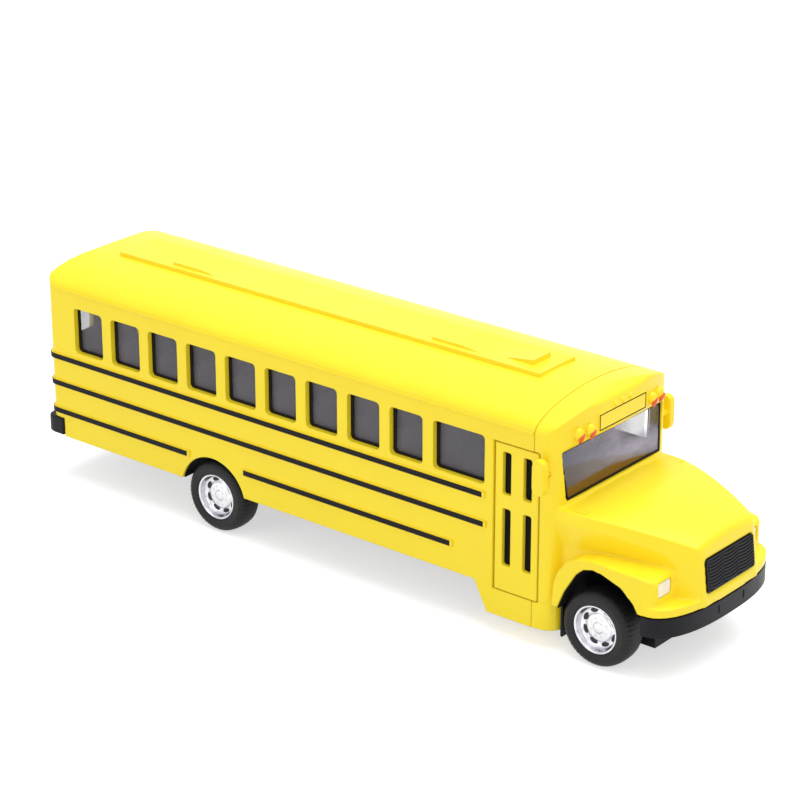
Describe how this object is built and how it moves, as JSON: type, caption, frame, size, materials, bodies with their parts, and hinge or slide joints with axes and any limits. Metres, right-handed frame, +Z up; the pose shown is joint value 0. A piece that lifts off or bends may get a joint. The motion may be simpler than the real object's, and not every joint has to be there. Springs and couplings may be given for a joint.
{
  "type": "toy bus",
  "caption": "Yellow toy bus with a long nose, a hinged entry door, rolling axles and a wind-up drive geared to the rear axle.",
  "frame": {"origin": "on the floor, below the middle of the overall length and width", "axes": "+X forward, towards the front bumper; +Y to the bus's left; +Z up"},
  "size_m": [0.215, 0.0568, 0.0667],
  "materials": {
    "paint_yellow": "gloss",
    "clear_panes": "clear",
    "cabin_grey": "matte",
    "trim_black": "satin",
    "lamp_lens": "gloss",
    "steel": "brushed",
    "rim_silver": "plated",
    "tyre_rubber": "matte",
    "gear_plastic": "satin"
  },
  "bodies": {
    "coach": {"body_shell": "paint_yellow", "front_cap": "paint_yellow", "side_glazing": "clear_panes", "windscreen": "clear_panes", "seat_tub": "cabin_grey", "dashboard": "trim_black", "steering_wheel": "trim_black", "door_hinge_pin": "steel", "chassis": "trim_black", "front_bumper": "trim_black", "rear_bumper": "trim_black", "grille": "trim_black", "headlight_right": "lamp_lens", "headlight_left": "lamp_lens", "mirror_right": "paint_yellow", "mirror_left": "paint_yellow", "drive_case_right": "trim_black", "drive_case_left": "trim_black", "compound_pin": "steel", "mainspring": "steel", "fixing_screws": "steel"},
    "door": {"entry_door": "paint_yellow"},
    "front_wheelset": {"front_axle": "steel", "rim_front_right": "rim_silver", "rim_front_left": "rim_silver", "tyre_front_right": "tyre_rubber", "tyre_front_left": "tyre_rubber"},
    "rear_wheelset": {"rear_axle": "steel", "axle_gear": "gear_plastic", "rim_rear_right": "rim_silver", "rim_rear_left": "rim_silver", "tyre_rear_right": "tyre_rubber", "tyre_rear_left": "tyre_rubber"},
    "compound": {"compound_gear": "gear_plastic"},
    "spring_drum": {"spring_gear": "gear_plastic"}
  },
  "joints": [
    {"name": "entry_door_hinge", "type": "hinge", "parent": "coach", "child": "door", "pos_m": [0.05325, -0.0242, 0], "axis": [0, 0, -1], "range_deg": [0, 85]},
    {"name": "front_axle_spin", "type": "hinge", "parent": "coach", "child": "front_wheelset", "pos_m": [0.0834, 0, 0.01025], "axis": [0, 1, 0], "continuous": true},
    {"name": "rear_axle_spin", "type": "hinge", "parent": "coach", "child": "rear_wheelset", "pos_m": [-0.0434, 0, 0.01025], "axis": [0, 1, 0], "continuous": true},
    {"name": "compound_gear_spin", "type": "hinge", "parent": "coach", "child": "compound", "pos_m": [-0.03496, 0, 0.01366], "axis": [0, 1, 0], "continuous": true},
    {"name": "spring_gear_spin", "type": "hinge", "parent": "coach", "child": "spring_drum", "pos_m": [-0.02526, 0, 0.01366], "axis": [0, 1, 0], "continuous": true}
  ],
  "couplings": [
    {"joint": "compound_gear_spin", "follows": "rear_axle_spin", "ratio": -0.5},
    {"joint": "spring_gear_spin", "follows": "rear_axle_spin", "ratio": 0.22727}
  ]
}
